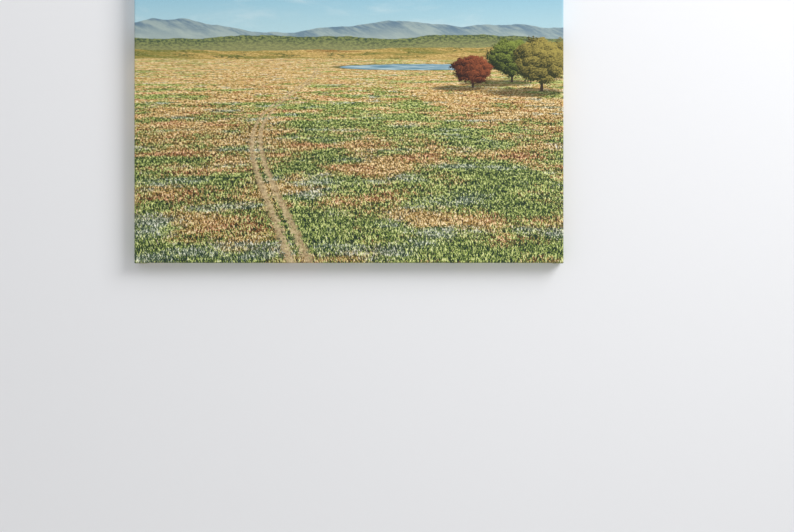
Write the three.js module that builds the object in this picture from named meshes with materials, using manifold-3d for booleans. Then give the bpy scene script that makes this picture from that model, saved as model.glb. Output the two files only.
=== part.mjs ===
// A stretched canvas print, ready to hang: canvas wrapped round a mitred pine stretcher frame, with a centre
// brace, wedge keys in every joint, two sawtooth hangers and two wall bumpers.
//
// Millimetres. +X runs along the picture's width, +Z is up, and the picture faces -Y. The wall is the plane
// y = 0, and the origin lies on it midway between the two hangers, level with the notches that the nails hold.

import * as THREE from "three";
import { mergeVertices } from "three/addons/utils/BufferGeometryUtils.js";
import Module from "manifold-3d";

const wasm = await Module();
wasm.setup();

// ---- driving dimensions ----

const PICTURE_WIDTH = 1219.2; // 48 in, over the canvas
const PICTURE_HEIGHT = 812.8; // 32 in, over the canvas
const GAP = 0.3; // left between pieces that touch
const CLOTH = 0.6; // canvas with its ink and coating
const FLAP = 25; // width of canvas turned over onto the back
const EDGE_RADIUS = 2.5; // of the frame's outer edges, front and back

const BAR_WIDTH = 44; // across the back of a bar
const BAR_DEPTH = 38; // back to front, at the lip that carries the canvas
const BAR_CHAMFER = 0.8;
const LIP_WIDTH = 5; // flat strip that the canvas bears on
const LIP_FOOT = { across: 9, depth: 36 }; // where the lip's inner slope ends
const INNER_DEPTH = 31.5; // depth of the bar's inner side

const TONGUE_INSET = 8; // wood left outside a tongue
const TONGUE_THICKNESS = 6;
const BACK_LAYER = 9; // depth, from the back, where the tongues of the horizontal bars start
const FRONT_LAYER = 20; // and those of the vertical bars
const MITRE_GAP = 0.2; // each bar's end is set back by this much along its length

const CORNER_KEY = { length: 46, tip: 3, butt: 22, inside: 31 };
const BRACE_KEY = { length: 34, tip: 2, butt: 11, inside: 22 };

const BRACE_WIDTH = 40;
const BRACE_BACK = 3; // depth of the brace's back face
const BRACE_THICKNESS = 18;
const BRACE_TENON = 24;

const HANGER = { length: 60, height: 12, sheet: 0.8, raised: 38, ramp: 3, lift: 1.5 };
const TOOTH = { count: 9, pitch: 3.6, depth: 2.6 };
const HANGER_SPACING = PICTURE_WIDTH / 2;
const HANGER_INSET = 34.5; // from the frame's top edge to the hanger's middle
const NAIL = { spacing: 50, shank: 0.8, head: 2.6, dome: 0.9, length: 13 };

const BUMPER = { radius: 6, flat: 4.4, height: 3, inset: 13 };

// ---- worked-out places ----

const FLAP_BACK = -BUMPER.height; // y of the back of the canvas flap
const WOOD_BACK = FLAP_BACK - CLOTH - GAP;
const WOOD_WIDTH = PICTURE_WIDTH - 2 * (CLOTH + GAP);
const WOOD_HEIGHT = PICTURE_HEIGHT - 2 * (CLOTH + GAP);
const NOTCH_Z = -HANGER.height / 2 + TOOTH.depth; // the notches, from the hanger's middle
const WOOD_TOP = HANGER_INSET - NOTCH_Z; // puts the notches at z = 0
const MIDDLE_Z = WOOD_TOP - WOOD_HEIGHT / 2;
const CLOTH_DEPTH = BAR_DEPTH + 2 * (CLOTH + GAP);

// ---- helpers ----

// A closed geometry as a solid that can be cut and joined.
function solid(geometry) {
  const bare = geometry.clone();
  bare.deleteAttribute("normal");
  bare.deleteAttribute("uv");
  const merged = mergeVertices(bare, 1e-4);
  return new wasm.Manifold(
    new wasm.Mesh({
      numProp: 3,
      vertProperties: merged.attributes.position.array,
      triVerts: new Uint32Array(merged.index.array),
    }),
  );
}

// A solid as a geometry again.
function geometryOf(made) {
  const mesh = made.getMesh();
  const geometry = new THREE.BufferGeometry();
  geometry.setAttribute("position", new THREE.BufferAttribute(mesh.vertProperties, 3));
  geometry.setIndex(new THREE.BufferAttribute(mesh.triVerts, 1));
  geometry.computeVertexNormals();
  return geometry;
}

function shapeOf(points) {
  return new THREE.Shape(points.map(([x, y]) => new THREE.Vector2(x, y)));
}

// A plate with an (x, z) outline that reaches from one depth to another. Depth runs forwards, towards -y.
function plate(points, fromDepth, toDepth) {
  const options = { depth: toDepth - fromDepth, bevelEnabled: false };
  const geometry = new THREE.ExtrudeGeometry(shapeOf(points), options);
  return geometry.rotateX(Math.PI / 2).translate(0, -fromDepth, 0);
}

// A block between two (x, z) corners, from one depth to another.
function block([x0, z0], [x1, z1], fromDepth, toDepth) {
  const geometry = new THREE.BoxGeometry(x1 - x0, toDepth - fromDepth, z1 - z0);
  return geometry.translate((x0 + x1) / 2, -(fromDepth + toDepth) / 2, (z0 + z1) / 2);
}

// ---- materials ----

const materials = {
  print: new THREE.MeshStandardMaterial({ color: 0x9a9460, roughness: 0.75, metalness: 0 }),
  pine: new THREE.MeshStandardMaterial({ color: 0xd9b98a, roughness: 0.7, metalness: 0 }),
  beech: new THREE.MeshStandardMaterial({ color: 0xc99b6c, roughness: 0.6, metalness: 0 }),
  brass: new THREE.MeshStandardMaterial({ color: 0xb8963e, roughness: 0.35, metalness: 1 }),
  steel: new THREE.MeshStandardMaterial({ color: 0xa8a9ab, roughness: 0.3, metalness: 1 }),
  rubber: new THREE.MeshStandardMaterial({ color: 0x2b2b2c, roughness: 0.85, metalness: 0 }),
};

const print = new THREE.Group();

function add(name, geometry, material, parent = print) {
  const mesh = new THREE.Mesh(geometry, materials[material]);
  mesh.name = name;
  parent.add(mesh);
  return mesh;
}

// ---- stretcher bars ----
//
// A bar is made lying along x with its outer edge at z = 0 and its back at y = 0. "across" is the distance
// inwards from the outer edge (-z), and "along" the distance from the bar's end.

// The bar's section: rounded outer edges, the lip that holds the canvas clear of the wood, and a front that
// falls away inwards.
function barSection() {
  const section = new THREE.Shape();
  section.absarc(EDGE_RADIUS, -EDGE_RADIUS, EDGE_RADIUS, 0.5 * Math.PI, Math.PI, false);
  section.absarc(EDGE_RADIUS, -(BAR_DEPTH - EDGE_RADIUS), EDGE_RADIUS, Math.PI, 1.5 * Math.PI, false);
  section.lineTo(LIP_WIDTH, -BAR_DEPTH);
  section.lineTo(LIP_FOOT.across, -LIP_FOOT.depth);
  section.lineTo(BAR_WIDTH - BAR_CHAMFER, -(INNER_DEPTH + BAR_CHAMFER));
  section.lineTo(BAR_WIDTH, -INNER_DEPTH);
  section.lineTo(BAR_WIDTH, -BAR_CHAMFER);
  section.lineTo(BAR_WIDTH - BAR_CHAMFER, 0);
  return section;
}

// The section drawn out to a length, with both ends mitred at 45 degrees.
function mitredBar(length) {
  const options = { depth: length, bevelEnabled: false, curveSegments: 4 };
  const geometry = new THREE.ExtrudeGeometry(barSection(), options);
  geometry.rotateY(Math.PI / 2).translate(-length / 2, 0, 0);
  const at = geometry.attributes.position;
  for (let i = 0; i < at.count; i++) {
    const across = -at.getZ(i);
    at.setX(i, Math.sign(at.getX(i)) * (length / 2 - across - MITRE_GAP));
  }
  return solid(geometry);
}

// How wide the room beside a key is at a distance across the bar.
function keyRoom(key, across) {
  const tipAcross = BAR_WIDTH - key.inside;
  return key.tip + ((across - tipAcross) * (key.butt - key.tip)) / key.length + 2 * GAP;
}

// The tongue at the bar's right end, in (x, z).
function tongueOutline(length) {
  const tip = length / 2 - TONGUE_INSET;
  const root = length / 2 - BAR_WIDTH - TONGUE_INSET;
  return [
    [root, -BAR_WIDTH],
    [tip, -BAR_WIDTH],
    [tip, -TONGUE_INSET],
    [root, -TONGUE_INSET],
  ];
}

// The slot at the bar's right end, which takes the other bar's tongue and a key: open at the mitre and at
// the inner side, with a slanting end for the key.
function slotOutline(length) {
  const shallow = TONGUE_INSET - GAP;
  const beyond = BAR_WIDTH + TONGUE_INSET;
  const end = length / 2 - BAR_WIDTH;
  return [
    [end - keyRoom(CORNER_KEY, beyond), -beyond],
    [length / 2 + TONGUE_INSET, -beyond],
    [length / 2 + TONGUE_INSET, -shallow],
    [end - keyRoom(CORNER_KEY, shallow), -shallow],
  ];
}

// The socket in the middle of a horizontal bar for the brace's tenon, with room for a key on each side.
function socketOutline() {
  const half = BRACE_WIDTH / 2;
  const bottom = BAR_WIDTH - BRACE_TENON - GAP;
  const beyond = BAR_WIDTH + TONGUE_INSET;
  const inner = half + keyRoom(BRACE_KEY, beyond);
  const outer = half + keyRoom(BRACE_KEY, bottom);
  return [
    [-inner, -beyond],
    [inner, -beyond],
    [outer, -bottom],
    [-outer, -bottom],
  ];
}

function mirrored(outline) {
  return outline.map(([x, z]) => [-x, z]).reverse();
}

// A bar with a tongue in one layer and a slot in the other at both ends.
function bar(length, tongueLayer, slotLayer) {
  let made = mitredBar(length);
  for (const side of [(outline) => outline, mirrored]) {
    const tongue = side(tongueOutline(length));
    const slot = side(slotOutline(length));
    made = made.add(solid(plate(tongue, tongueLayer + GAP, tongueLayer + TONGUE_THICKNESS - GAP)));
    made = made.subtract(solid(plate(slot, slotLayer, slotLayer + TONGUE_THICKNESS)));
  }
  return made;
}

function horizontalBar() {
  const socket = plate(socketOutline(), BACK_LAYER, BACK_LAYER + TONGUE_THICKNESS);
  return bar(WOOD_WIDTH, BACK_LAYER, FRONT_LAYER).subtract(solid(socket));
}

// Where the hangers' nails go, along the top bar.
function nailPlaces() {
  const places = [];
  for (const hanger of [-1, 1]) {
    for (const end of [-1, 1]) {
      places.push((hanger * HANGER_SPACING) / 2 + (end * NAIL.spacing) / 2);
    }
  }
  return places;
}

function topBar() {
  let made = horizontalBar();
  for (const x of nailPlaces()) {
    const hole = new THREE.CylinderGeometry(NAIL.shank + GAP, NAIL.shank + GAP, 2 * NAIL.length, 8);
    made = made.subtract(solid(hole.translate(x, 0, -HANGER_INSET)));
  }
  return made;
}

// A key beside the joint at x = 0, in (x, z): its straight side is next to the tongue or tenon, and it
// tapers outwards.
function keyOutline(key) {
  const tip = BAR_WIDTH - key.inside;
  const butt = tip + key.length;
  return [
    [-GAP, -tip],
    [-GAP - key.tip, -tip],
    [-GAP - key.butt, -butt],
    [-GAP, -butt],
  ];
}

function keyGeometry(key, layer) {
  return plate(keyOutline(key), layer + GAP, layer + TONGUE_THICKNESS - GAP);
}

// One side of the frame: the bar, and the keys driven into its slots, turned about y into its place.
function frameSide(name, turn, length, slotLayer, made) {
  const side = new THREE.Group();
  const reach = turn % Math.PI === 0 ? WOOD_HEIGHT / 2 : WOOD_WIDTH / 2;
  side.rotation.y = turn;
  side.position.set(0, WOOD_BACK, MIDDLE_Z);
  print.add(side);

  add("stretcher_" + name, geometryOf(made), "pine", side).position.z = reach;
  for (const [label, sign] of [["a", 1], ["b", -1]]) {
    const key = add(`key_${name}_${label}`, keyGeometry(CORNER_KEY, slotLayer), "beech", side);
    key.position.set(sign * (length / 2 - BAR_WIDTH), 0, reach);
    if (sign < 0) key.geometry = geometryOf(solid(key.geometry).mirror([1, 0, 0]));
  }
  return { side, reach };
}

// ---- centre brace ----

function brace() {
  const halfLength = WOOD_HEIGHT / 2 - BAR_WIDTH - GAP;
  const halfWidth = BRACE_WIDTH / 2;
  const board = block(
    [-halfWidth, -halfLength],
    [halfWidth, halfLength],
    BRACE_BACK,
    BRACE_BACK + BRACE_THICKNESS,
  );
  const tenon = block(
    [-halfWidth, -halfLength - BRACE_TENON + GAP],
    [halfWidth, halfLength + BRACE_TENON - GAP],
    BACK_LAYER + GAP,
    BACK_LAYER + TONGUE_THICKNESS - GAP,
  );
  return solid(board).add(solid(tenon));
}

function braceKeys(name, { side, reach }) {
  for (const [label, sign] of [["a", 1], ["b", -1]]) {
    const key = add(`key_brace_${name}_${label}`, keyGeometry(BRACE_KEY, BACK_LAYER), "beech", side);
    key.position.set((-sign * BRACE_WIDTH) / 2, 0, reach);
    if (sign < 0) key.geometry = geometryOf(solid(key.geometry).mirror([1, 0, 0]));
  }
}

// ---- canvas ----

// A slab as large as the wrapped frame less a skin all round, with its front and back edges rounded so that
// the skin is as thick there.
function slab(skin) {
  const radius = EDGE_RADIUS + GAP + CLOTH - skin;
  const inset = 2 * (skin + radius);
  const face = shapeOf(rectangle(PICTURE_WIDTH - inset, PICTURE_HEIGHT - inset));
  const geometry = new THREE.ExtrudeGeometry(face, {
    depth: CLOTH_DEPTH - inset,
    bevelThickness: radius,
    bevelSize: radius,
    bevelSegments: 4,
  });
  return geometry.rotateX(Math.PI / 2).translate(0, -inset / 2, 0);
}

// A sheet stretched over the front, round the four sides and a little way onto the back.
function canvas() {
  const margin = 2 * (CLOTH + FLAP);
  const opening = plate(rectangle(PICTURE_WIDTH - margin, PICTURE_HEIGHT - margin), -CLOTH, 2 * CLOTH);
  return solid(slab(0)).subtract(solid(slab(CLOTH))).subtract(solid(opening));
}

function rectangle(width, height) {
  return [
    [-width / 2, -height / 2],
    [width / 2, -height / 2],
    [width / 2, height / 2],
    [-width / 2, height / 2],
  ];
}

// ---- hangers, nails and bumpers ----

// A strip of sheet metal with its middle raised off the wood and a row of teeth along its lower edge.
function hanger() {
  const { length, height, sheet, raised, ramp, lift } = HANGER;
  const half = [
    [raised / 2, lift],
    [raised / 2 + ramp, 0],
    [length / 2, 0],
  ];
  const left = half.map(([x, y]) => [-x, y]).reverse();
  const under = [...left, ...half];
  const over = under.map(([x, y]) => [x, y + sheet]).reverse();
  const options = { depth: height, bevelEnabled: false };
  const strip = new THREE.ExtrudeGeometry(shapeOf([...under, ...over]), options);
  let made = solid(strip.translate(0, 0, -height / 2));

  for (let i = 0; i < TOOTH.count; i++) {
    const x = (i - (TOOTH.count - 1) / 2) * TOOTH.pitch;
    const notch = [
      [x - TOOTH.pitch / 2, -height / 2],
      [x, NOTCH_Z],
      [x + TOOTH.pitch / 2, -height / 2],
      [x, -height],
    ];
    made = made.subtract(solid(plate(notch.reverse(), -height, height)));
  }
  for (const x of [-NAIL.spacing / 2, NAIL.spacing / 2]) {
    const radius = NAIL.shank + GAP;
    made = made.subtract(solid(new THREE.CylinderGeometry(radius, radius, height, 12).translate(x, 0, 0)));
  }
  return made;
}

// A domed head on a short shank that ends in a point, made along y with the head's underside at y = 0.
function nail() {
  const { shank, head, dome, length } = NAIL;
  const profile = [
    [0, -length],
    [shank, -length + 2 * shank],
    [shank, 0],
    [head, 0],
    [0.8 * head, 0.55 * dome],
    [0.45 * head, 0.9 * dome],
    [0, dome],
  ];
  return new THREE.LatheGeometry(profile.map(([r, y]) => new THREE.Vector2(r, y)), 12);
}

// A round pad with a flat face for the wall, made along y with that face at y = 0.
function bumper() {
  const { radius, flat, height } = BUMPER;
  const bottom = -height + GAP;
  const profile = [
    [0, bottom],
    [radius, bottom],
    [radius, 0.5 * bottom],
    [radius - 0.3, 0.25 * bottom],
    [flat + 0.6, 0.04 * bottom],
    [flat, 0],
    [0, 0],
  ];
  return new THREE.LatheGeometry(profile.map(([r, y]) => new THREE.Vector2(r, y)), 24);
}

// ---- assembly ----

const quarter = Math.PI / 2;
const top = frameSide("top", 0, WOOD_WIDTH, FRONT_LAYER, topBar());
frameSide("right", quarter, WOOD_HEIGHT, BACK_LAYER, bar(WOOD_HEIGHT, FRONT_LAYER, BACK_LAYER));
const bottom = frameSide("bottom", 2 * quarter, WOOD_WIDTH, FRONT_LAYER, horizontalBar());
frameSide("left", 3 * quarter, WOOD_HEIGHT, BACK_LAYER, bar(WOOD_HEIGHT, FRONT_LAYER, BACK_LAYER));

add("centre_brace", geometryOf(brace()), "pine").position.set(0, WOOD_BACK, MIDDLE_Z);
braceKeys("top", top);
braceKeys("bottom", bottom);

add("canvas", geometryOf(canvas()), "print").position.set(0, FLAP_BACK, MIDDLE_Z);

for (const [name, sign] of [["left", -1], ["right", 1]]) {
  const place = [(sign * HANGER_SPACING) / 2, WOOD_BACK + GAP, WOOD_TOP - HANGER_INSET];
  add("hanger_" + name, geometryOf(hanger()), "brass").position.set(...place);
  for (const [end, side] of [["outer", sign], ["inner", -sign]]) {
    const x = place[0] + (side * NAIL.spacing) / 2;
    const y = place[1] + HANGER.sheet + GAP;
    add(`nail_${name}_${end}`, nail(), "steel").position.set(x, y, place[2]);
  }

  const x = sign * (PICTURE_WIDTH / 2 - BUMPER.inset);
  const z = MIDDLE_Z - PICTURE_HEIGHT / 2 + BUMPER.inset;
  add("bumper_" + name, bumper(), "rubber").position.set(x, 0, z);
}

export default print;
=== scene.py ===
"""A stretched canvas print on a pale wall. In metres: +X is along it, +Z is up, and it faces -Y."""

import math
import random

import bpy
import numpy as np
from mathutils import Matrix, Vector


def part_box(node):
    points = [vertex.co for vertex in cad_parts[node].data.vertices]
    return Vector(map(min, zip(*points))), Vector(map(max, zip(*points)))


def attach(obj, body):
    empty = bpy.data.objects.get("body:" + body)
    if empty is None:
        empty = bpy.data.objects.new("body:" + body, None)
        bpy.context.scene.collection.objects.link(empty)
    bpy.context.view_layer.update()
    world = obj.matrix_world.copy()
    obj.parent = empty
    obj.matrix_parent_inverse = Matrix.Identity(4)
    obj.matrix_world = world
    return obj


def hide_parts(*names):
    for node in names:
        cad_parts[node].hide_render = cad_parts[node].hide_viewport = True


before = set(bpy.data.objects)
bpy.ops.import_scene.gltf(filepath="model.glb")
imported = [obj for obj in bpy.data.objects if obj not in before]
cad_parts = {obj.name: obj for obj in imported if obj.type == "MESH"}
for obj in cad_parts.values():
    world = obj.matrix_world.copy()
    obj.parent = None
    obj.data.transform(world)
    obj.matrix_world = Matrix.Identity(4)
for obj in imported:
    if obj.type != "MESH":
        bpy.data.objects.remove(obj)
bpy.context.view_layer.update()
MM = 0.001


# ---- sizes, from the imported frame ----

cloth_low, cloth_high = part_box("canvas")
WIDTH = cloth_high.x - cloth_low.x
HEIGHT = cloth_high.z - cloth_low.z
DEPTH = cloth_high.y - cloth_low.y
FRONT_Y = cloth_low.y
BACK_Y = cloth_high.y
CENTRE_X = (cloth_low.x + cloth_high.x) / 2
CENTRE_Z = (cloth_low.z + cloth_high.z) / 2

EDGE_RADIUS = 3.4 * MM  # of the cloth's outer face, round the frame's front and back edges
CORNER_RADIUS = 0.8 * MM  # round its four depthwise corners
CLOTH = 0.5 * MM
FLAP = 25.5 * MM  # turned over onto the back
PLEAT = 1.3 * MM  # how far the folded corner stands proud
TUCK = 8 * MM  # cloth hidden under the folded corner
PRINT_ON_BACK = 7 * MM  # the ink ends this far round onto the back
THREAD = 0.9 * MM  # from one thread of the weave to the next but one
FLOOR_DROP = 1.11  # from the picture's bottom edge down to the floor
WALL_COLOUR = (232, 233, 236)
EDGE_ROUNDING = EDGE_RADIUS * (2 - math.pi / 2)  # how much shorter a rounded edge is than a square one
WRAP = DEPTH + FLAP - 2 * EDGE_ROUNDING  # the cloth past the front, to its cut edge on the back
FLAT_CUT = WIDTH + 2 * WRAP, HEIGHT + 2 * WRAP


# ---- shader nodes, written as sums ----


def linear(red, green, blue):
    """An sRGB colour from 0 to 255, as linear light."""
    def one(channel):
        c = channel / 255
        return c / 12.92 if c <= 0.04045 else ((c + 0.055) / 1.055) ** 2.4
    return one(red), one(green), one(blue), 1.0


class Value:
    """A number in a material, at each point of a surface. It adds and multiplies as numbers do."""

    def __init__(self, paint, socket):
        self.paint, self.socket = paint, socket

    def __add__(self, other):
        return self.paint.math("ADD", self, other)

    def __sub__(self, other):
        return self.paint.math("SUBTRACT", self, other)

    def __rsub__(self, other):
        return self.paint.math("SUBTRACT", other, self)

    def __mul__(self, other):
        return self.paint.math("MULTIPLY", self, other)

    def __truediv__(self, other):
        return self.paint.math("DIVIDE", self, other)

    def __rtruediv__(self, other):
        return self.paint.math("DIVIDE", other, self)

    __radd__, __rmul__ = __add__, __mul__


class Paint:
    """A new material, and the means to build its nodes."""

    def __init__(self, name):
        self.material = bpy.data.materials.new(name)
        self.material.use_nodes = True
        self.tree = self.material.node_tree
        self.shader = self.tree.nodes["Principled BSDF"]

    def put(self, value, socket):
        if isinstance(value, Value):
            self.tree.links.new(value.socket, socket)
        elif isinstance(value, (tuple, list)) and len(value) == 4 and len(socket.default_value) == 3:
            socket.default_value = value[:3]
        else:
            socket.default_value = value

    def node(self, kind, inputs=(), output=0, **settings):
        node = self.tree.nodes.new("ShaderNode" + kind)
        for key, value in settings.items():
            setattr(node, key, value)
        for key, value in dict(inputs).items():
            self.put(value, node.inputs[key])
        return Value(self, node.outputs[output])

    def math(self, operation, *values):
        return self.node("Math", enumerate(values), operation=operation)

    def power(self, base, exponent):
        return self.math("POWER", base, exponent)

    def sine(self, angle):
        return self.math("SINE", angle)

    def size(self, value):
        return self.math("ABSOLUTE", value)

    def floor(self, value):
        return self.math("FLOOR", value)

    def least(self, a, b):
        return self.math("MINIMUM", a, b)

    def most(self, a, b):
        return self.math("MAXIMUM", a, b)

    def step(self, value, low, high, start=0.0, end=1.0):
        """start at or below low, end at or above high, and a smooth change between."""
        inputs = {"Value": value, "From Min": low, "From Max": high, "To Min": start, "To Max": end}
        return self.node("MapRange", inputs, interpolation_type="SMOOTHSTEP")

    def vector(self, x=0.0, y=0.0, z=0.0):
        return self.node("CombineXYZ", {"X": x, "Y": y, "Z": z})

    def split(self, vector):
        node = self.node("SeparateXYZ", {"Vector": vector}).socket.node
        return [Value(self, out) for out in node.outputs]

    def place(self):
        """The point in the frame, in metres."""
        return self.node("TexCoord", output="Object")

    def noise(self, vector, scale, detail=2.0, rough=0.5, warp=0.0):
        inputs = {"Vector": vector, "Scale": scale, "Detail": detail}
        inputs.update({"Roughness": rough, "Distortion": warp})
        return self.node("TexNoise", inputs)

    def cells(self, vector, output="Distance", spread=1.0):
        """Flat cells, about one unit across."""
        inputs = {"Vector": vector, "Scale": 1.0, "Randomness": spread}
        return self.node("TexVoronoi", inputs, output=output, voronoi_dimensions="2D")

    def mix(self, amount, first, second, blend="MIX"):
        node = self.tree.nodes.new("ShaderNodeMix")
        node.data_type = "RGBA"
        node.blend_type = blend
        for key, value in (("Factor_Float", amount), ("A_Color", first), ("B_Color", second)):
            self.put(value, next(s for s in node.inputs if s.identifier == key))
        return Value(self, next(s for s in node.outputs if s.identifier == "Result_Color"))

    def ramp(self, value, stops):
        """A colour for each value: stops are (place, colour)."""
        node = self.tree.nodes.new("ShaderNodeValToRGB")
        elements = node.color_ramp.elements
        while len(elements) < len(stops):
            elements.new(0.5)
        for element, (place, colour) in zip(elements, stops):
            element.position, element.color = place, colour
        self.put(value, node.inputs[0])
        return Value(self, node.outputs[0])

    def bump(self, height, distance, strength=1.0, normal=None):
        inputs = {"Height": height, "Distance": distance, "Strength": strength}
        if normal is not None:
            inputs["Normal"] = normal
        return self.node("Bump", inputs)

    def finish(self, **inputs):
        """Sets the shader's sockets, such as base_color or roughness."""
        for key, value in inputs.items():
            self.put(value, self.shader.inputs[key.replace("_", " ").title()])
        return self.material


# ---- the picture: rolling grassland under a pale sky, with a lake, a track and a few trees ----

HORIZON = 0.615  # height above the picture's bottom edge where the ground would meet the sky
NEAR = 0.04  # keeps the ground's perspective finite at the horizon
SHRINK = 1.4  # how much smaller the grass blades are from one level to the next

# Colours of the three kinds of grass, from shaded gaps to bleached tips.
GREEN_STOPS = [
    (0.00, linear(28, 46, 34)),
    (0.26, linear(74, 100, 42)),
    (0.48, linear(124, 148, 58)),
    (0.70, linear(176, 190, 90)),
    (1.00, linear(234, 236, 168)),
]
GOLD_STOPS = [
    (0.00, linear(70, 58, 30)),
    (0.24, linear(136, 104, 50)),
    (0.46, linear(196, 152, 76)),
    (0.70, linear(230, 190, 110)),
    (1.00, linear(250, 236, 196)),
]
RUST_STOPS = [
    (0.00, linear(64, 34, 24)),
    (0.40, linear(164, 96, 54)),
    (0.70, linear(206, 142, 92)),
    (1.00, linear(244, 208, 170)),
]
SAGE_STOPS = [
    (0.00, linear(48, 66, 52)),
    (0.30, linear(96, 116, 96)),
    (0.55, linear(146, 160, 136)),
    (0.78, linear(196, 198, 182)),
    (1.00, linear(240, 240, 234)),
]


def sky(paint, x, h):
    low = paint.step(h, HORIZON, 0.86)
    blue = paint.mix(low, linear(178, 210, 218), linear(120, 180, 208))
    drift = paint.noise(paint.vector(x, h * 3.4), 2.6, 6.0, 0.56, 0.35)
    cover = paint.step(drift, 0.5, 0.74, 0.0, 0.6)
    return paint.mix(cover, blue, linear(226, 234, 234))


def ridge(paint, x, base, swing, across, offset):
    """The height of a hill line, which wanders up and down by about swing."""
    line = paint.noise(paint.vector(x * across + offset, offset), 1.0, 5.0, 0.45)
    return (line - 0.5) * (2 * swing) + base


def below(paint, h, line, blur=0.0012):
    return paint.step(h - line, -blur, blur, 1.0, 0.0)


def hills(paint, x, h, behind):
    far = ridge(paint, x, 0.672, 0.060, 3.2, 3.1)
    fold = paint.noise(paint.vector(x * 9.0 + h * 16.0, h * 10.0), 1.6, 5.0, 0.68)
    haze = paint.mix(paint.step(fold, 0.40, 0.62), linear(98, 126, 146), linear(154, 172, 172))
    haze = paint.mix(paint.step(h - far, -0.05, 0.0, 0.65, 0.0), haze, linear(176, 190, 182))
    behind = paint.mix(below(paint, h, far), behind, haze)

    woods = ridge(paint, x, 0.640, 0.034, 3.8, 7.7)
    mottle = paint.noise(paint.vector(x, h * 2.0), 95.0, 3.0, 0.7)
    shade = paint.mix(paint.step(mottle, 0.40, 0.60), linear(58, 78, 58), linear(130, 140, 86))
    shade = paint.mix(paint.step(h - woods, -0.035, 0.0, 0.55, 0.0), shade, linear(156, 154, 104))
    behind = paint.mix(below(paint, h, woods + (mottle - 0.5) * 0.006), behind, shade)

    gold = ridge(paint, x, 0.612, 0.030, 2.6, 12.4)
    bands = paint.noise(paint.vector(x * 2.0 + h * 1.5, (h - gold) * 30.0 + x * 1.4), 1.8, 4.0, 0.65)
    fields = paint.ramp(bands, [
        (0.32, linear(98, 114, 52)),
        (0.42, linear(140, 138, 66)),
        (0.50, linear(196, 166, 92)),
        (0.58, linear(222, 188, 116)),
        (0.68, linear(164, 120, 62)),
    ])
    grain = paint.noise(paint.vector(x * 110.0, h * 420.0), 1.0, 3.0, 0.8)
    fields = paint.mix(paint.step(grain, 0.38, 0.62, 0.55, 0.0), fields, linear(112, 98, 48))
    fields = paint.mix(paint.step(grain, 0.52, 0.70, 0.0, 0.5), fields, linear(240, 216, 160))
    clump = paint.noise(paint.vector(x * 90.0, h * 240.0), 1.0, 4.0, 0.75)
    sparse = paint.noise(paint.vector(x * 2.0, h * 7.0), 7.0, 2.0, 0.6)
    shrubs = paint.step(clump + (sparse - 0.5) * 0.9, 0.58, 0.66, 0.0, 0.85)
    leaves = paint.mix(paint.step(clump, 0.5, 0.8), linear(92, 100, 50), linear(48, 62, 34))
    fields = paint.mix(shrubs, fields, leaves)
    return paint.mix(below(paint, h, gold, 0.001), behind, fields)


def blades(paint, x, h, level, lean):
    """Slim strokes that lean to one side, smaller at each level: tone and hue, each about 0.5."""
    whole = paint.floor(level)
    later = paint.step(level - whole, 0.5, 1.0)
    earlier = 1.0 - later
    even = paint.power(later * later + earlier * earlier, -0.5)  # keeps the contrast where sizes mix
    tone, hue = 0.5, 0.5
    for ahead, share in ((0.0, earlier * even), (1.0, later * even)):
        scale = paint.power(SHRINK, whole + ahead)
        wide, tall = paint.least(270.0, 950.0 / scale), scale * 58.0
        place = paint.vector((x + h * lean) * wide, h * tall)
        settings = {"Vector": place, "Scale": 0.75, "Detail": 3.0, "Roughness": 0.88}
        light, kind, _ = paint.split(paint.node("TexNoise", settings, "Color"))
        tone = tone + (light - 0.5) * share
        hue = hue + (kind - 0.5) * share
    return tone, hue


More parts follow.
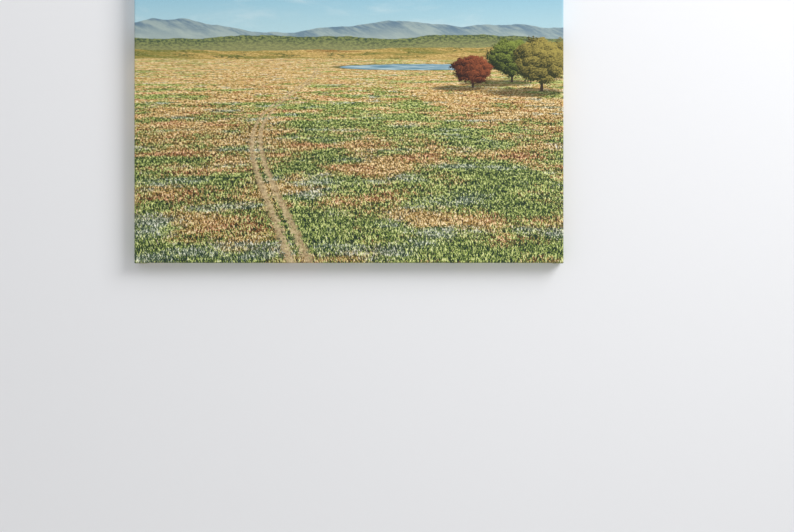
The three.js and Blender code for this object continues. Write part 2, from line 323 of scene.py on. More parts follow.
def meadow(paint, x, h):
    fall = paint.most(HORIZON - h, 0.0) + NEAR
    far = 1.0 / fall
    ground = paint.vector(x * far * 0.8, far * 1.5)
    patch = paint.noise(ground, 2.0, 3.0, 0.6)
    second = paint.noise(paint.vector(x * far * 0.7 + 30.0, far * 1.7), 2.4, 3.0, 0.6)
    tuft = paint.noise(ground, 10.0, 4.0, 0.7)

    # Blades shrink with distance, and far off they run together sideways.
    swell = paint.noise(ground, 14.0, 0.0)
    level = paint.math("LOGARITHM", far, SHRINK) + (swell - 0.5) * 2.0
    bent = x + (paint.noise(paint.vector(x, h), 22.0, 2.0) - 0.5) * 0.012
    tone, hue = blades(paint, bent, h, level, 0.32)
    tone_2, hue_2 = blades(paint, bent + 5.0, h, level, -0.20)
    front = paint.step(tone_2 - tone, -0.02, 0.02)
    hue = hue + (hue_2 - hue) * front
    tone = paint.most(tone, tone_2)

    distant = paint.step(h, 0.30, 0.56)
    rows = paint.noise(paint.vector(x * far * 0.35, far * 2.6), 2.0, 4.0, 0.75)
    deep = (patch - 0.5) * 0.6 + (tuft - 0.5) * 1.4 + (rows - 0.5) * (0.4 + distant * 0.9)
    fine = paint.noise(paint.vector(x * 380.0, h * 330.0), 1.0, 2.0, 0.8)
    tone = (tone - 0.56) * (9.2 - distant * 4.2) + 0.49 + distant * 0.22 + deep + (fine - 0.5) * 0.8

    mixed = (hue - 0.5) * (1.8 - distant * 0.8)
    streaks = paint.noise(paint.vector(x * far * 0.22 + 9.0, far * 1.1), 2.0, 3.0, 0.6)
    sweep = paint.noise(paint.vector(x * 1.6 + 4.0, h * 6.0), 1.0, 2.0)
    warmth = (patch - 0.5) * (1.9 - distant * 0.5) + mixed + paint.step(h, 0.0, 0.60, -0.10, 0.10)
    warmth = warmth + (sweep - 0.5) * 1.3 + ((rows - 0.5) * 0.9 + (streaks - 0.5) * 2.0) * distant
    grey = second + (hue - 0.5) * 0.8 + paint.step(h, 0.0, 0.5, 0.02, -0.01)
    rust = paint.step(second - (hue - 0.5) * 0.9, 0.38, 0.42, 0.85, 0.0)
    dry = paint.mix(rust, paint.ramp(tone, GOLD_STOPS), paint.ramp(tone, RUST_STOPS))
    grass = paint.mix(paint.step(warmth, -0.06, 0.07), paint.ramp(tone, GREEN_STOPS), dry)
    sage = paint.ramp(tone + 0.04, SAGE_STOPS)
    grass = paint.mix(paint.step(grey, 0.60, 0.66, 0.0, 0.85), grass, sage)
    return paint.mix(paint.step(h, 0.45, 0.60, 0.0, 0.35), grass, linear(204, 178, 118))


def track(paint, x, h, under):
    """Two wheel ruts that wind away over the grass."""
    fall = paint.most(HORIZON - h, 0.0)
    swing = paint.sine(1.15 / (fall + 0.10) + 0.9)
    middle = fall * (swing * 0.40 - 0.30) - 0.10
    ragged = paint.noise(paint.vector(x * 90.0, h * 120.0), 1.0, 4.0, 0.8)
    off = paint.size(x - middle) / (fall * 0.062 + 0.0016)
    off = off + (ragged - 0.5) * paint.least(fall * 6.0, 2.2)
    rut = paint.step(off, 0.25, 0.45) * paint.step(off, 0.85, 1.10, 1.0, 0.0)
    soil = paint.mix(paint.step(ragged, 0.3, 0.7), linear(126, 96, 58), linear(228, 206, 162))
    return paint.mix(rut * paint.step(h, 0.54, 0.575, 0.85, 0.0), under, soil)


def lake(paint, x, h, under):
    wobble = paint.noise(paint.vector(x * 9.0, h * 40.0), 1.0, 4.0, 0.7)
    across, up = (x - 0.20) / 0.23, (h - 0.556 + (wobble - 0.5) * 0.008) / 0.0085
    reach = across * across + up * up
    ripple = paint.noise(paint.vector(x * 14.0, h * 420.0), 1.0, 3.0, 0.6)
    water = paint.mix(paint.step(ripple, 0.4, 0.65), linear(96, 138, 160), linear(182, 206, 210))
    under = paint.mix(paint.step(reach, 0.98, 1.4, 0.8, 0.0), under, linear(70, 84, 44))
    return paint.mix(paint.step(reach, 0.92, 1.0, 1.0, 0.0), under, water)


def tree(paint, x, h, under, at, base, width, height, dark, light, seed):
    """A broad tree lit from the upper right: its shadow on the grass, its trunk and its leaves."""
    dx, dz = (x - at) / width, (h - base) / height
    rough = paint.noise(paint.vector(dx + seed, dz), 3.4, 4.0, 0.65)
    sx, sz = (dx + 0.30) / 0.80, (dz + 0.01) / 0.09
    shadow = sx * sx + sz * sz + (rough - 0.5) * 1.6
    under = paint.mix(paint.step(shadow, 0.4, 1.1, 0.75, 0.0), under, linear(36, 46, 26))

    trunk = paint.step(paint.size(dx + (rough - 0.5) * 0.1), 0.018, 0.030, 1.0, 0.0)
    trunk = trunk * paint.step(dz, -0.005, 0.01) * paint.step(dz, 0.55, 0.6, 1.0, 0.0)
    under = paint.mix(trunk, under, linear(52, 42, 32))

    tilt = height / width
    place = paint.vector(dx * 7.0 + (rough - 0.5) * 1.5 + seed, dz * tilt * 7.0)
    clump = paint.cells(place, "Position", 0.9)
    gap = Value(paint, clump.socket.node.outputs["Distance"])
    px, py, _ = paint.split(clump)
    qx, qy, _ = paint.split(place)
    leaf = paint.noise(place, 5.0, 4.0, 0.8)
    cx, cz = dx / 0.50, (dz - 0.57) / 0.43
    reach = cx * cx + cz * cz + (gap - 0.35) * 0.4 + (leaf - 0.5) * 1.5 + (rough - 0.5) * 1.9
    shine = dx * 0.5 + dz * 0.7 + (qx - px) * 0.16 + (qy - py) * 0.36
    shine = shine + (leaf - 0.5) * 2.8 + (rough - 0.5) * 1.1
    crown = paint.mix(paint.step(shine, 0.0, 1.0), dark, light)
    return paint.mix(paint.step(reach, 0.92, 1.04, 1.0, 0.0), under, crown)


LEAF = {
    "green": (linear(22, 36, 18), linear(136, 150, 66)),
    "rust": (linear(40, 20, 16), linear(152, 82, 50)),
    "olive": (linear(36, 42, 20), linear(170, 154, 78)),
}
TREES = [
    # at, base, width, height, leaf
    (0.462, 0.512, 0.140, 0.125, "green"),
    (0.352, 0.497, 0.120, 0.092, "rust"),
    (0.548, 0.486, 0.170, 0.155, "olive"),
]


def landscape(paint, x, h):
    """The picture's colour at x from its middle and h above its bottom edge, on the unrolled cloth."""
    colour = hills(paint, x, h, sky(paint, x, h))
    ground = ridge(paint, x, 0.580, 0.020, 2.1, 21.0)
    colour = paint.mix(below(paint, h, ground, 0.001), colour, meadow(paint, x, h))
    colour = track(paint, x, h, colour)
    colour = lake(paint, x, h, colour)
    for number, (at, base, width, height, leaf) in enumerate(TREES):
        colour = tree(paint, x, h, colour, at, base, width, height, *LEAF[leaf], 3.7 * number)
    return colour


# ---- the cloth ----
#
# It is made from its flat cut. (u, v) is a point's place on the flat cloth, in metres from the
# picture's middle, and each patch says where its points go on the frame. The left and right sides are
# wrapped first. The top and bottom go over them, with their ends folded under at the frame's corners.

HALF_W, HALF_H = WIDTH / 2, HEIGHT / 2
ARC_ANGLES = np.linspace(0, math.pi / 2, 6)
FOLD_ANGLES = np.linspace(0, math.pi, 6)
TUCK_PARTS = np.linspace(0, 1, 4)
FRONT_STEP = 7 * MM  # the mesh's spacing over the front
EDGE_STEP = 3 * MM  # near the front's edges and down the sides
FLAP_STEP = 3.6 * MM  # on the back
TO_MICRONS = 1e6
TINY = 1e-9

SLACK = 0.5 * MM  # depth of the front's hollows
SLACK_START = 8 * MM  # in from the front's edges
SLACK_EASE = 60 * MM  # and they reach their depth over this way

CORNER_ZONE = 50 * MM  # how far the folded corner's effect reaches along the top and bottom
FOLD_DEPTH = 32 * MM  # the folded layers widen with depth behind the front, as far as this
FOLD_EASE = 7 * MM  # over this way the cloth climbs onto them
FOLD_WAY = 0.7 * MM  # the fold's radius on the flat cut
FOLD_NIP = 0.3 * MM  # keeps the fold's tip inside the rounded corner
LAYER_GAP = 0.1 * MM  # between layers that lie on each other
SUNK = -0.6 * MM  # the folded-under cloth lies no lower than this

BAKE_SHIFT = 12 * MM  # moves the folded-under ends clear on the bake map
BAKE_HALF = 0.495  # half of the cloth's way across the bake map
BAKE_GAP = 0.005  # between the bake map's printed, bare and cut-edge parts
BAKE_FOOT = 0.002  # below the bare part
PRINT_PART = FLAT_CUT[1] / FLAT_CUT[0]  # of the bake map's height: the print is as sharp each way
BARE_PART = 1 - PRINT_PART - 3 * BAKE_GAP


def smoothstep(low, high, value):
    t = np.clip((value - low) / (high - low), 0, 1)
    return t * t * (3 - 2 * t)


def spread(start, end, spacing):
    """Even steps from start to end, about spacing apart, both ends included."""
    return np.linspace(start, end, max(2, int(round((end - start) / spacing)) + 1))


def front_places(half):
    """Places across the front, closer together near its edges."""
    inner = half - EDGE_RADIUS
    near = spread(half - CORNER_ZONE, inner, EDGE_STEP)[1:]
    positive = np.concatenate([spread(0, half - CORNER_ZONE, FRONT_STEP), near])
    return np.concatenate([-positive[:0:-1], positive])


def corner_places(half):
    """The front's places and those round its edges: on the flat cut, on the frame, and the turn."""
    arc = ARC_ANGLES[1:]
    front = front_places(half)
    inner = half - EDGE_RADIUS
    beyond = inner + EDGE_RADIUS * arc, inner + EDGE_RADIUS * np.sin(arc)
    flat, reach = (np.concatenate([-part[::-1], front, part]) for part in beyond)
    return flat, reach, np.concatenate([arc[::-1], 0 * front, arc])


def way_round(half):
    """From a front edge to the cut edge: place on the flat cut, reach, depth and which way it faces."""
    inner, arc = half - EDGE_RADIUS, ARC_ANGLES[1:]
    side = spread(EDGE_RADIUS, DEPTH - EDGE_RADIUS, EDGE_STEP)[1:] - EDGE_RADIUS
    flap = spread(0, FLAP - EDGE_RADIUS, FLAP_STEP)[1:]
    reach = [
        inner + EDGE_RADIUS * np.sin(ARC_ANGLES),
        half + 0 * side,
        inner + EDGE_RADIUS * np.cos(arc),
        inner - flap,
    ]
    depth = [
        EDGE_RADIUS - EDGE_RADIUS * np.cos(ARC_ANGLES),
        EDGE_RADIUS + side,
        DEPTH - EDGE_RADIUS + EDGE_RADIUS * np.sin(arc),
        DEPTH + 0 * flap,
    ]
    facing = [ARC_ANGLES - math.pi / 2, 0 * side, arc, math.pi / 2 + 0 * flap]
    flat = [EDGE_RADIUS * ARC_ANGLES]
    for step in (side, EDGE_RADIUS * arc, flap):
        flat.append(flat[-1][-1] + step)
    flat, reach, depth, facing = (np.concatenate(parts) for parts in (flat, reach, depth, facing))
    return inner + flat, reach, depth, facing


def slack(x, z):
    """The front's shallow hollows, which die out where the cloth bears on the frame."""
    free_x = smoothstep(0, SLACK_EASE, HALF_W - SLACK_START - abs(x))
    free_z = smoothstep(0, SLACK_EASE, HALF_H - SLACK_START - abs(z))
    waves = 0.45 * np.sin(5.1 * x + 2.0) * np.cos(6.3 * z + 0.4) + 0.2 * np.sin(13 * x - 9 * z + 1.0)
    return free_x * free_z * (0.6 + waves) * SLACK


def proud(end, depth):
    """How far the top or bottom stands proud, at a distance from its end, over the folded layers."""
    layers = np.minimum(depth, FOLD_DEPTH)
    return PLEAT * smoothstep(0, FOLD_EASE, layers - end) * smoothstep(0, FOLD_EASE, depth - EDGE_RADIUS)


class Cloth:
    """Patches of cloth, joined where their points are the same place on the flat cut."""

    def __init__(self):
        self.points, self.flat, self.faces, self.shifts, self.known = [], [], [], [], {}

    def patch(self, u, v, x, depth, z, layer=None, shift=0.0):
        """A grid of points at (x, depth, z). layer tells apart those at one place on the flat cut."""
        shape = len(u), len(v)
        x, depth, z = (np.broadcast_to(part, shape) for part in (x, depth, z))
        across, up = np.argsort(u), np.argsort(v)
        grid = np.zeros(shape, int)
        for i in range(shape[0]):
            for j in range(shape[1]):
                key = layer(i, j) if layer else 0, round(u[i] * TO_MICRONS), round(v[j] * TO_MICRONS)
                if key not in self.known:
                    self.known[key] = len(self.points)
                    self.points.append((x[i, j], depth[i, j], z[i, j]))
                    self.flat.append((u[i], v[j]))
                grid[i, j] = self.known[key]
        grid = grid[across][:, up]
        for i in range(shape[0] - 1):
            for j in range(shape[1] - 1):
                self.faces.append((grid[i, j], grid[i + 1, j], grid[i + 1, j + 1], grid[i, j + 1]))
                self.shifts.append(shift)

    def front(self):
        u, v = front_places(HALF_W), front_places(HALF_H)
        self.patch(u, v, u[:, None], slack(u[:, None], v[None, :]), v[None, :])

    def side(self, sign):
        """The left or right side, and its tucks under the ends of the top and bottom."""
        u, reach, depth, _ = way_round(HALF_W)
        v, z, turned = corner_places(HALF_H)
        front = np.maximum(EDGE_RADIUS - depth, 0)[:, None]
        back = np.maximum(depth - DEPTH + EDGE_RADIUS, 0)[:, None]
        deep = depth[:, None] + (front - back) * (1 - np.cos(turned))
        x = np.repeat(reach[:, None], len(v), axis=1)
        z = np.repeat(z[None, :], len(u), axis=0)
        over_x, over_z = x - (HALF_W - CORNER_RADIUS), abs(z) - (HALF_H - CORNER_RADIUS)
        both = (over_x > 0) & (over_z > 0)
        shrink = np.where(both, np.maximum(over_x, over_z) / np.hypot(over_x, over_z), 1.0)
        x = np.where(both, HALF_W - CORNER_RADIUS + over_x * shrink, x)
        z = np.where(both, np.sign(z) * (HALF_H - CORNER_RADIUS + over_z * shrink), z)
        self.patch(sign * u, v, sign * x, deep, z)

        # The tucked cloth is narrow near the front, and wider with depth as far as TUCK.
        level = (depth > EDGE_RADIUS - TINY) & (depth < DEPTH - EDGE_RADIUS + TINY)
        room = np.clip(depth[level] - EDGE_RADIUS - 3 * MM, 0.4 * MM, TUCK)
        for end in (-1, 1):
            tuck_v = end * (v[-1] + TUCK_PARTS * TUCK)
            tuck_x = sign * (HALF_W - room[:, None] * TUCK_PARTS)
            self.patch(sign * u[level], tuck_v, tuck_x, depth[level][:, None], end * HALF_H,
                       layer=lambda i, j: int(j > 0))

    def end(self, sign):
        """The top or bottom, with its ends folded under."""
        v, reach, depth, facing = way_round(HALF_H)
        u, place, turned = corner_places(HALF_W)
        rise = proud(0.0, depth)
        under = np.minimum(LAYER_GAP, rise - 2 * CLOTH - LAYER_GAP)  # level of the folded-under cloth
        bend = np.where(depth > EDGE_RADIUS + TINY, (rise - under) / 2, 0)
        tip = HALF_W - bend - np.where(facing >= 0, HALF_H - reach, 0)
        start = HALF_W - CORNER_ZONE
        part = np.maximum((abs(place) - start) / CORNER_ZONE, 0)[:, None]
        x = np.minimum(abs(place), start)[:, None] + part * (tip - start)
        out = proud(HALF_W - x - (HALF_W - bend - tip), depth)

        def lay(u, rows, x, out, **more):
            z = reach[rows] + out * np.cos(facing[rows])
            deep = depth[rows] + out * np.sin(facing[rows])
            self.patch(u, sign * v[rows], x, deep, sign * z, **more)

        front = turned == 0
        every, beyond = slice(None), slice(len(ARC_ANGLES) - 1, None)
        lay(u[front], every, (np.sign(place)[:, None] * x)[front], out[front])
        nip = np.where(bend[beyond] > 0, 0, FOLD_NIP)
        turn = tip[beyond] - nip + bend[beyond] * np.sin(FOLD_ANGLES)[:, None]
        drop = rise[beyond] - nip - bend[beyond] * (1 - np.cos(FOLD_ANGLES))[:, None]
        part = TUCK_PARTS[1:, None]
        room = np.clip(depth[beyond] - EDGE_RADIUS - 2 * MM, 0.2 * MM, TUCK)
        under_x = np.concatenate([turn, turn[-1] - part * room])
        under_out = np.concatenate([drop, np.maximum(under[beyond], SUNK) + 0 * part])
        past_fold = math.pi * FOLD_WAY + part[:, 0] * TUCK
        under_u = u[-1] + np.concatenate([FOLD_ANGLES * FOLD_WAY, past_fold])
        for end in (-1, 1):
            mine = (place * end > 0) & (abs(u) >= front_places(HALF_W)[-1] - TINY)
            lay(u[mine], beyond, end * x[mine][:, beyond], out[mine][:, beyond])
            lay(end * under_u, beyond, end * under_x, under_out, layer=lambda i, j: 2 * int(i > 0),
                shift=sign * BAKE_SHIFT)


def stretched_cloth():
    """The canvas as a closed thin sheet: a printed face, a bare face and the cut edge between them."""
    cloth = Cloth()
    cloth.front()
    for sign in (-1, 1):
        cloth.side(sign)
        cloth.end(sign)
    count = len(cloth.points)
    outer = np.array(cloth.points) + (CENTRE_X, FRONT_Y, CENTRE_Z)
    sheet = bpy.data.meshes.new("sheet")
    sheet.from_pydata(outer.tolist(), [], cloth.faces)
    normals = np.array([list(v.normal) for v in sheet.vertices])
    bpy.data.meshes.remove(sheet)

    edges = {}
    for face in cloth.faces:
        for a, b in zip(face, face[1:] + face[:1]):
            if edges.pop((b, a), None) is None:
                edges[a, b] = True
    inner_faces = [tuple(count + i for i in face[::-1]) for face in cloth.faces]
    rim = [(b, a, a + count, b + count) for a, b in edges]
    points = np.concatenate([outer, outer - CLOTH * normals])
    printed = len(cloth.faces)
    unprinted = len(inner_faces) + len(rim)
    mesh = bpy.data.meshes.new("canvas_print")
    mesh.from_pydata(points.tolist(), [], cloth.faces + inner_faces + rim)
    mesh.polygons.foreach_set("material_index", [0] * printed + [1] * unprinted)
    mesh.polygons.foreach_set("use_smooth", [True] * (printed + unprinted))

    flat = np.array(cloth.flat * 2)
    corners = np.array([loop.vertex_index for loop in mesh.loops])
    mesh.uv_layers.new(name="print").data.foreach_set("uv", flat[corners].ravel())
    shifts = np.repeat(cloth.shifts * 2 + [0.0] * len(rim), 4)
    spot = flat[corners] + np.stack([0 * shifts, shifts], axis=1)
    most = abs(spot).max(axis=0)
    spot = 0.5 + BAKE_HALF * spot / most
    bare = corners >= count
    spot[:, 1] = np.where(bare, BAKE_FOOT + BARE_PART * spot[:, 1], 1 - PRINT_PART * (1 - spot[:, 1]))
    on_rim = np.arange(len(corners)) >= 8 * printed
    spot[on_rim, 1] = 1 - PRINT_PART - BAKE_GAP
    mesh.uv_layers.new(name="OFBake").data.foreach_set("uv", spot.ravel())
    return mesh


# ---- pieces on the back ----


def joined(name, parts):
    """One mesh from several (points, faces)."""
    points, faces = [], []
    for part_points, part_faces in parts:
        faces += [tuple(len(points) + i for i in face) for face in part_faces]
        points += [tuple(point) for point in part_points]
    mesh = bpy.data.meshes.new(name)
    mesh.from_pydata(points, [], faces)
    return mesh


def swept(path, section):
    """A closed solid: a section carried along a path in the (x, y) plane, square to it."""
    path, points = [Vector(p) for p in path], []
    for i, here in enumerate(path):
        ahead = (path[min(i + 1, len(path) - 1)] - path[max(i - 1, 0)]).normalized()
        outward = Vector((-ahead.y, ahead.x, 0))
        points += [here + outward * a + Vector((0, 0, b)) for a, b in section]
    n = len(section)
    faces = [tuple(range(n))[::-1], tuple(range(len(points) - n, len(points)))]
    for i in range(len(path) - 1):
        for j in range(n):
            a, b = i * n + j, i * n + (j + 1) % n
            faces.append((a, b, b + n, a + n))
    return points, faces


STAPLE_CROWN = 10 * MM
STAPLE_BEND = 1.0 * MM  # radius where the crown turns into the legs
STAPLE_LEG = 2.2 * MM  # how far the legs go below the cloth's surface
STAPLE_WIRE = (0.55 * MM, 1.1 * MM)  # thickness and width
STAPLE_FLAT = 0.6  # of each side of the wire, between its eased corners
STAPLE_SPACING = 52 * MM
STAPLE_ROW = 12 * MM  # in from the frame's edge
STAPLE_ENDS = 90 * MM  # of each row that is left free, at both ends together
CORNER_STAPLE = 30 * MM, 13 * MM  # in from the frame's edges, over the folded corner
CORNER_TURN = 0.78, 0.10  # its angle, and how far off that it is
CORNER_LIFT = 0.55 * PLEAT  # how far proud of the flap
STAPLE_STRAY = 2 * MM, 1.5 * MM, 0.16  # how far off they are along the row, across it and in angle


def staple():
    """A flat wire whose crown lies along x on the plane y = 0, and whose legs go down into it."""
    half, bend = STAPLE_CROWN / 2, STAPLE_BEND
    thick, wide = STAPLE_WIRE[0] / 2, STAPLE_WIRE[1] / 2
    corner_x, corner_y = half - bend, thick - bend
    arc = [(corner_x + bend * math.sin(a), corner_y + bend * math.cos(a), 0) for a in ARC_ANGLES[::2]]
    right = arc + [(arc[-1][0], -STAPLE_LEG, 0)]
    path = [(-x, y, z) for x, y, z in reversed(right)] + right
    flat_thick, flat_wide = thick * STAPLE_FLAT, wide * STAPLE_FLAT
    section = [(-flat_thick, -wide), (flat_thick, -wide), (thick, -flat_wide), (thick, flat_wide),
               (flat_thick, wide), (-flat_thick, wide), (-thick, flat_wide), (-thick, -flat_wide)]
    return swept(path, section)


def staple_places(rng):
    """Where the staples go on the back, as (x, z, turn, how far proud of the flap)."""
    places = []
    stray_along, stray_across, stray_turn = STAPLE_STRAY
    for half, other, turn in ((HALF_W, HALF_H, 0.0), (HALF_H, HALF_W, math.pi / 2)):
        count = int((2 * half - STAPLE_ENDS) / STAPLE_SPACING)
        for sign in (-1, 1):
            for i in range(count + 1):
                along = (i - count / 2) * STAPLE_SPACING + rng.uniform(-stray_along, stray_along)
                across = sign * (other - STAPLE_ROW - rng.uniform(-stray_across, stray_across))
                spot = (along, across) if turn == 0 else (across, along)
                places.append((*spot, turn + rng.uniform(-stray_turn, stray_turn), 0.0))
    for sx in (-1, 1):
        for sz in (-1, 1):
            x, z = sx * (HALF_W - CORNER_STAPLE[0]), sz * (HALF_H - CORNER_STAPLE[1])
            turn = sx * sz * CORNER_TURN[0] + rng.uniform(-CORNER_TURN[1], CORNER_TURN[1])
            places.append((x, z, turn, CORNER_LIFT))
    return places


def staples():
    rng = random.Random(11)
    points, faces = staple()
    parts = []
    for x, z, turn, lift in staple_places(rng):
        c, s = math.cos(turn), math.sin(turn)
        turned = [(p.x * c - p.z * s, p.y, p.x * s + p.z * c) for p in points]
        placed = [(CENTRE_X + x + a, BACK_Y + lift + b, CENTRE_Z + z + d) for a, b, d in turned]
        parts.append((placed, faces))
    return joined("staples", parts)


# ---- materials ----


def weave(paint, u, v):
    """A plain weave: over one thread and under the next."""
    return paint.sine(u * (math.tau / THREAD)) * paint.sine(v * (math.tau / THREAD))


def slubs(paint, u, v, along, across, detail):
    """Thick and thin stretches of the threads, both ways."""
    level = paint.noise(paint.vector(u * along, v * across), 1.0, detail)
    return level + paint.noise(paint.vector(u * across, v * along), 1.0, detail)


def printed_canvas():
    """The picture in matt ink on a plain weave. Past the ink's end on the back it is white primer."""
    paint = Paint("printed_canvas")
    u, v, _ = paint.split(paint.node("UVMap", uv_map="print"))
    picture = landscape(paint, u, v + HALF_H)
    reach = paint.most(paint.size(u) - HALF_W, paint.size(v) - HALF_H)
    ink_end = DEPTH + PRINT_ON_BACK - 2 * EDGE_ROUNDING
    primed = paint.step(reach, ink_end - 0.2 * MM, ink_end + 0.2 * MM)
    picture = paint.mix(primed, picture, linear(236, 234, 226))
    threads = weave(paint, u, v) + slubs(paint, u, v, 30.0, 600.0, 2.0) * 0.8
    # Painted shade and light of the weave: the picture is made darker where the threads lie low and
    # lighter on their crowns.
    weave_shading = paint.step(threads, -0.6, 1.8, 0.93, 1.05)
    picture = paint.mix(1.0, picture, paint.vector(weave_shading, weave_shading, weave_shading), "MULTIPLY")
    bump = paint.bump(threads, 0.05 * MM, 0.7)
    material = paint.finish(base_color=picture, roughness=0.62, normal=bump)
    paint.shader.inputs["Specular IOR Level"].default_value = 0.3
    return material


def bare_canvas():
    """The unprinted side: undyed cotton, with flecks of seed and uneven threads."""
    paint = Paint("bare_canvas")
    u, v, _ = paint.split(paint.node("UVMap", uv_map="print"))
    slub = slubs(paint, u, v, 25.0, 500.0, 3.0)
    cloud = paint.noise(paint.vector(u, v), 5.0, 4.0, 0.6)
    fleck = paint.noise(paint.vector(u * 260.0, v * 420.0), 1.0, 3.0, 0.7)
    colour = paint.mix(paint.step(slub, 0.75, 1.3), linear(214, 206, 186), linear(236, 230, 214))
    colour = paint.mix(paint.step(cloud, 0.35, 0.7, 0.0, 0.5), colour, linear(222, 210, 184))
    colour = paint.mix(paint.step(fleck, 0.70, 0.76, 0.0, 0.6), colour, linear(150, 124, 84))
    bump = paint.bump(weave(paint, u, v) + slub * 1.2, 0.10 * MM, 0.8)
    return paint.finish(base_color=colour, roughness=0.9, normal=bump)


def wood(name, grain_axis, light, dark, board=0.0, ring=30.0, seed=0.0):
    """Planed wood. board is the length of the pieces finger-jointed into it, if there are any."""
    paint = Paint(name)
    x, y, z = paint.split(paint.place())
    along, across = (x, z) if grain_axis == "X" else (z, x)
    start, seam = seed, 0.0
    if board:
        teeth = paint.math("PINGPONG", across, 3.2 * MM) * 3.0
        run = (along + teeth) / board + (seed + 0.37)
        number = paint.floor(run)
        part = run - number
        seam = paint.step(paint.least(part, 1.0 - part) * board, 0.1 * MM, 0.5 * MM, 0.55, 0.0)
        start = number * 5.3 + seed
        tone = paint.node("TexWhiteNoise", {"W": start}, noise_dimensions="1D")
    wave = paint.noise(paint.vector(along * 1.1 + start, across * 6.0 + start, y * 6.0), 1.0, 2.0)
    grain = paint.vector(along * 0.9 + start, across * ring + wave * 3.0, y * ring)
    rings = paint.noise(grain, 1.0, 3.0, 0.6)
    ringed = paint.math("FRACT", rings * 7.0)
    late = paint.step(ringed, 0.35, 0.85) * paint.step(ringed, 0.9, 1.0, 1.0, 0.0)
    fibre = paint.noise(paint.vector(along * 14.0 + start, across * 900.0, y * 900.0), 1.0, 2.0, 0.7)
    colour = paint.mix(late * 0.75, light, dark)
    colour = paint.mix(paint.step(fibre, 0.35, 0.75, 0.0, 0.35), colour, dark)
    if board:
        colour = paint.mix(tone * 0.35, colour, linear(206, 160, 104))
        knots = paint.cells(paint.vector(along * 4.0 + start, across * 9.0 + start))
        ripple = paint.noise(paint.vector(along * 40.0, across * 40.0), 1.0, 2.0)
        knot = knots + (ripple - 0.5) * 0.04
        colour = paint.mix(paint.step(knot, 0.05, 0.085, 0.9, 0.0), colour, linear(112, 70, 38))
        colour = paint.mix(paint.step(knot, 0.015, 0.05, 0.5, 0.0), colour, linear(74, 44, 26))
        colour = paint.mix(seam, colour, linear(120, 84, 50))
    bump = paint.bump(late + fibre * 0.8, 0.08 * MM, 0.6)
    rough = paint.step(fibre, 0.2, 0.8, 0.55, 0.75)
    return paint.finish(base_color=colour, roughness=rough, normal=bump)


def metal(name, colour, worn, rough, scale=220.0):
    """Plated or drawn metal, with faint rolling marks and duller patches."""
    paint = Paint(name)
    place = paint.place()
    x, y, z = paint.split(place)
    marks = paint.noise(paint.vector(x * 60.0, y * 900.0, z * 900.0), 1.0, 3.0, 0.7)
    dull = paint.noise(place, scale, 3.0, 0.6)
    shade = paint.mix(paint.step(dull, 0.4, 0.72, 0.0, 0.6), colour, worn)
    bump = paint.bump(marks + dull, 0.02 * MM, 0.5)
    dullness = paint.step(dull, 0.3, 0.75, rough, rough + 0.2)
    return paint.finish(base_color=shade, metallic=1.0, roughness=dullness, normal=bump)


def rubber():
    paint = Paint("bumper_rubber")
    grain = paint.noise(paint.place(), 900.0, 3.0, 0.6)
    dust = paint.noise(paint.place(), 160.0, 3.0, 0.6)
    colour = paint.mix(paint.step(dust, 0.5, 0.75, 0.0, 0.4), linear(38, 38, 40), linear(92, 90, 86))
    return paint.finish(base_color=colour, roughness=0.8, normal=paint.bump(grain, 0.05 * MM, 0.5))


def wall_paint():
    """Matt white paint with a roller's stipple. It is clear from behind, to show the picture's back."""
    paint = Paint("wall")
    stipple = paint.noise(paint.place(), 260.0, 3.0, 0.6)
    bump = paint.bump(stipple, 0.15 * MM, 0.35)
    paint.finish(base_color=linear(*WALL_COLOUR), roughness=0.85, normal=bump)
    paint.shader.inputs["Specular IOR Level"].default_value = 0.2
    tree = paint.tree
    clear = tree.nodes.new("ShaderNodeBsdfTransparent")
    either = tree.nodes.new("ShaderNodeMixShader")
    tree.links.new(paint.node("NewGeometry", output="Backfacing").socket, either.inputs[0])
    tree.links.new(paint.shader.outputs[0], either.inputs[1])
    tree.links.new(clear.outputs[0], either.inputs[2])
    tree.links.new(either.outputs[0], tree.nodes["Material Output"].inputs["Surface"])
    return paint.material


def floor_paint():
    paint = Paint("floor")
    cloud = paint.noise(paint.place(), 2.2, 4.0, 0.5)
    colour = paint.mix(paint.step(cloud, 0.3, 0.7), linear(196, 195, 193), linear(199, 198, 196))
    return paint.finish(base_color=colour, roughness=0.6)


# ---- the pieces ----


SHARP = math.radians(32)  # edges steeper than this are eased, and the others are rounds
JOINED = 0.005 * MM  # corners of facets nearer than this are one
BAR_EDGE, SMALL_EDGE = 0.5 * MM, 0.15 * MM  # eased off the bars' edges, and off all the others


def piece(name, mesh, slot, *finishes):
    """An object that rides with the picture. finishes are its materials."""
    thing = bpy.data.objects.new(name, mesh)
    bpy.context.scene.collection.objects.link(thing)
    for finish in finishes:
        mesh.materials.append(finish)
    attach(thing, "root")
    return thing


def smooth_rounds():
    """Modifier nodes that shade a mesh as smooth, apart from its sharp edges."""
    group = bpy.data.node_groups.new("smooth_rounds", "GeometryNodeTree")
    for way in ("INPUT", "OUTPUT"):
        group.interface.new_socket("Geometry", in_out=way, socket_type="NodeSocketGeometry")
    start = group.nodes.new("NodeGroupInput")
    end = group.nodes.new("NodeGroupOutput")
    smooth, sharp = (group.nodes.new("GeometryNodeSetShadeSmooth") for _ in range(2))
    angle = group.nodes.new("GeometryNodeInputMeshEdgeAngle")
    steep = group.nodes.new("FunctionNodeCompare")
    smooth.domain, sharp.domain = "FACE", "EDGE"
    sharp.inputs["Shade Smooth"].default_value = False
    steep.inputs["B"].default_value = SHARP
    links = [
        (start.outputs[0], smooth.inputs["Geometry"]),
        (smooth.outputs[0], sharp.inputs["Geometry"]),
        (angle.outputs["Unsigned Angle"], steep.inputs["A"]),
        (steep.outputs["Result"], sharp.inputs["Selection"]),
        (sharp.outputs[0], end.inputs[0]),
    ]
    for source, target in links:
        group.links.new(source, target)
    return group


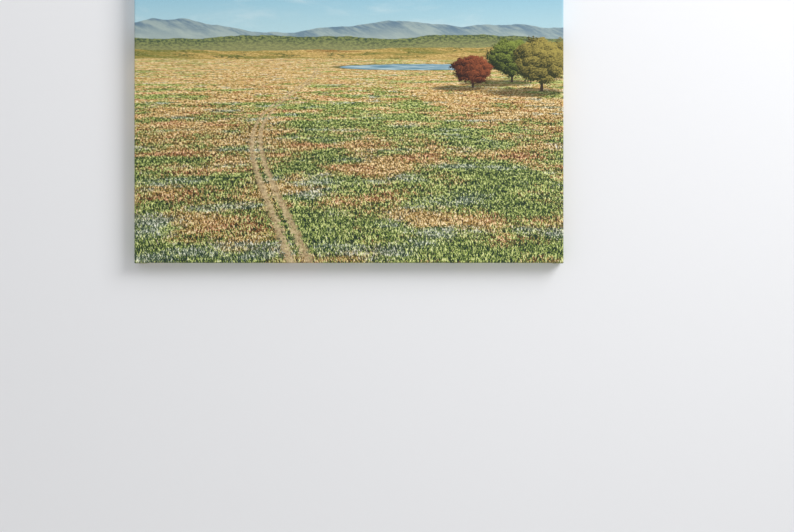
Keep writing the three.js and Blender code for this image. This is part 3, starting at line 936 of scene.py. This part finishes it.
def soften(node, width, shading):
    """Joins the facets of a CAD node, shades its rounds as smooth and eases its sharp edges."""
    weld = node.modifiers.new("join", "WELD")
    weld.merge_threshold = JOINED
    node.modifiers.new("rounds", "NODES").node_group = shading
    bevel = node.modifiers.new("edges", "BEVEL")
    bevel.width, bevel.segments = width, 2
    bevel.limit_method, bevel.angle_limit = "ANGLE", SHARP
    bevel.harden_normals = True


bars = ["stretcher_top", "stretcher_bottom", "stretcher_left", "stretcher_right"]
canvas = piece("canvas_print", stretched_cloth(), "printed_canvas", printed_canvas(), bare_canvas())
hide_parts("canvas")

steel = metal("staple_steel", linear(176, 178, 180), linear(142, 144, 146), 0.32)
piece("staples", staples(), "nail_steel", steel)

pine_light, pine_dark = linear(228, 196, 150), linear(196, 148, 96)
finishes = {
    "stretcher_top": wood("pine_top", "X", pine_light, pine_dark, 0.41, seed=0.2),
    "stretcher_bottom": wood("pine_bottom", "X", pine_light, pine_dark, 0.46, seed=3.6),
    "stretcher_left": wood("pine_left", "Z", pine_light, pine_dark, 0.38, seed=6.1),
    "stretcher_right": wood("pine_right", "Z", pine_light, pine_dark, 0.43, seed=9.4),
    "centre_brace": wood("pine_brace", "Z", pine_light, pine_dark, 0.52, seed=12.7),
    "key": wood("key_wood", "X", linear(214, 172, 126), linear(176, 128, 84), ring=60.0, seed=2.0),
    "hanger": metal("hanger_brass", linear(206, 172, 96), linear(168, 136, 70), 0.28),
    "nail": steel,
    "bumper": rubber(),
}
shading = smooth_rounds()
for name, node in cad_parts.items():
    finish = finishes.get(name) or finishes.get(name.split("_")[0])
    if finish is None:
        continue
    node.data.materials.clear()
    node.data.materials.append(finish)
    soften(node, BAR_EDGE if name in bars or name == "centre_brace" else SMALL_EDGE, shading)


# ---- the room ----


def plane(name, corners, material):
    """A flat part of the room, which isn't part of the object."""
    mesh = bpy.data.meshes.new(name)
    mesh.from_pydata(corners, [], [(0, 1, 2, 3)])
    mesh.materials.append(material)
    thing = bpy.data.objects.new(name, mesh)
    bpy.context.scene.collection.objects.link(thing)
    return thing


def lamp(name, place, aim, size, watts):
    """A white square lamp at a place, turned to face another."""
    light = bpy.data.lights.new(name, "AREA")
    light.shape, light.size, light.energy = "SQUARE", size, watts
    thing = bpy.data.objects.new(name, light)
    thing.location = place
    thing.rotation_euler = (Vector(aim) - Vector(place)).to_track_quat("-Z", "Y").to_euler()
    bpy.context.scene.collection.objects.link(thing)


ROOM = 7.0  # half of the floor's width
WALL_LEFT, WALL_RIGHT, WALL_TOP = -5.0, 1.9, 3.0
WALL_Y = 1 * MM  # just behind the origin's plane, clear of the bumpers
SKY_LIGHT = 0.612

floor_z = CENTRE_Z - HALF_H - FLOOR_DROP
wall_ends = [(WALL_LEFT, floor_z), (WALL_RIGHT, floor_z), (WALL_RIGHT, WALL_TOP), (WALL_LEFT, WALL_TOP)]
wall = plane("wall", [(x, WALL_Y, z) for x, z in wall_ends], wall_paint())
floor_ends = [(-ROOM, -ROOM), (ROOM, -ROOM), (ROOM, ROOM), (-ROOM, ROOM)]
plane("floor", [(x, y, floor_z) for x, y in floor_ends], floor_paint())
# Light passes through the wall, so that lamps behind it can light the picture's back.
wall.visible_shadow = wall.visible_diffuse = wall.visible_glossy = False

middle = Vector((CENTRE_X, FRONT_Y, CENTRE_Z))
far_left = middle + Vector((-31.2, 0, -8.5))
# The key faces almost along the wall, as a window beside it does.
lamp("key", middle + Vector((3.156, -2.887, 2.463)), far_left, size=2.9, watts=236)
lamp("rear_key", middle + Vector((-2.4, 2.4, 1.7)), middle, size=1.4, watts=55)

world = bpy.data.worlds.new("world")
world.use_nodes = True
background = world.node_tree.nodes["Background"]
background.inputs["Color"].default_value = (1, 1, 1, 1)
background.inputs["Strength"].default_value = SKY_LIGHT
bpy.context.scene.world = world
bpy.context.scene.view_settings.view_transform = "Standard"

# The camera looks straight at the wall, a little below the picture's bottom edge.
CAMERA_RIGHT, CAMERA_AWAY, CAMERA_BELOW = 0.1366, 3.3816, 0.0088
camera_data = bpy.data.cameras.new("camera")
camera_data.lens, camera_data.sensor_width = 54.0, 36.0
camera = bpy.data.objects.new("camera", camera_data)
camera.location = (CENTRE_X + CAMERA_RIGHT, FRONT_Y - CAMERA_AWAY, CENTRE_Z - HALF_H - CAMERA_BELOW)
camera.rotation_euler = (math.pi / 2, 0, 0)
bpy.context.scene.collection.objects.link(camera)
bpy.context.scene.camera = camera

bpy.context.view_layer.update()
